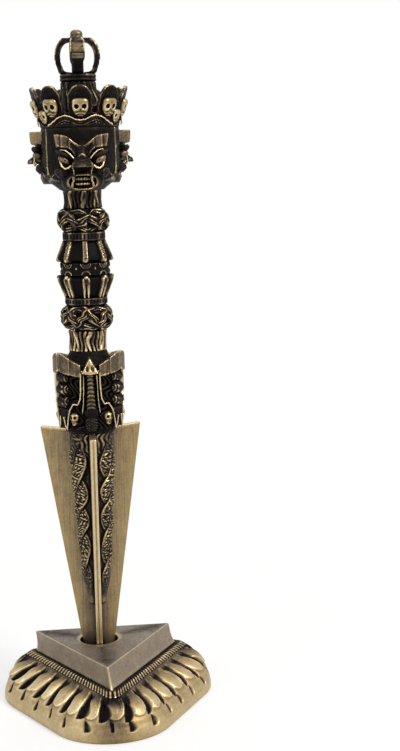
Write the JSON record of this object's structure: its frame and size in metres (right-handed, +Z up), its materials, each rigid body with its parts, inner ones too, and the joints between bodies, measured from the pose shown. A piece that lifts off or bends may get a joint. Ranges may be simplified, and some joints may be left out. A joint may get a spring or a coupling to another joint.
{
  "type": "phurba with stand",
  "caption": "Antique brass ritual dagger with a finned blade, ribbed handle, wrathful faces under a skull crown and a prong finial, upright in a lotus stand",
  "frame": {"origin": "on the dagger's axis, at the stand's flat underside", "axes": "+Z up the dagger's axis; -Y the way the front face, the front fin and one corner of the stand look; +X to the viewer's right"},
  "size_m": [0.0718, 0.0679, 0.225],
  "materials": {
    "stand_brass": "antiqued cast brass, brushed on the plinth, dark between the petals",
    "blade_brass": "brushed antique brass with small pits",
    "dark_brass": "near-black patina with rubbed edges",
    "rubbed_brass": "polished high spots over dark patina"
  },
  "bodies": {
    "stand": {"lotus_skirt": "stand_brass", "milled_rim": "stand_brass", "stand_plinth": "stand_brass"},
    "phurba": {"blade": "blade_brass", "naga_serpents": "dark_brass", "makara_drum": "dark_brass", "makara_trunks": "rubbed_brass", "makara_brows": "rubbed_brass", "makara_jaws": "rubbed_brass", "makara_manes": "dark_brass", "makara_skulls": "rubbed_brass", "lower_neck": "dark_brass", "lower_knot": "dark_brass", "lower_bead_ring": "dark_brass", "lower_grip": "dark_brass", "grip_waist_ring": "dark_brass", "upper_grip": "dark_brass", "upper_bead_ring": "dark_brass", "upper_knot": "dark_brass", "upper_neck": "dark_brass", "head_core": "dark_brass", "face_front": "dark_brass", "face_right": "dark_brass", "face_left": "dark_brass", "headbands": "dark_brass", "crown": "dark_brass", "crown_skulls": "rubbed_brass", "topknot": "dark_brass", "finial_collar": "dark_brass", "finial_outer_prongs": "rubbed_brass", "finial_centre_prong": "dark_brass", "finial_bud": "rubbed_brass"}
  },
  "joints": [
    {"name": "phurba_lift", "type": "slide", "parent": "stand", "child": "phurba", "axis": [0, 0, 1], "range_m": [0, 0.03]}
  ]
}
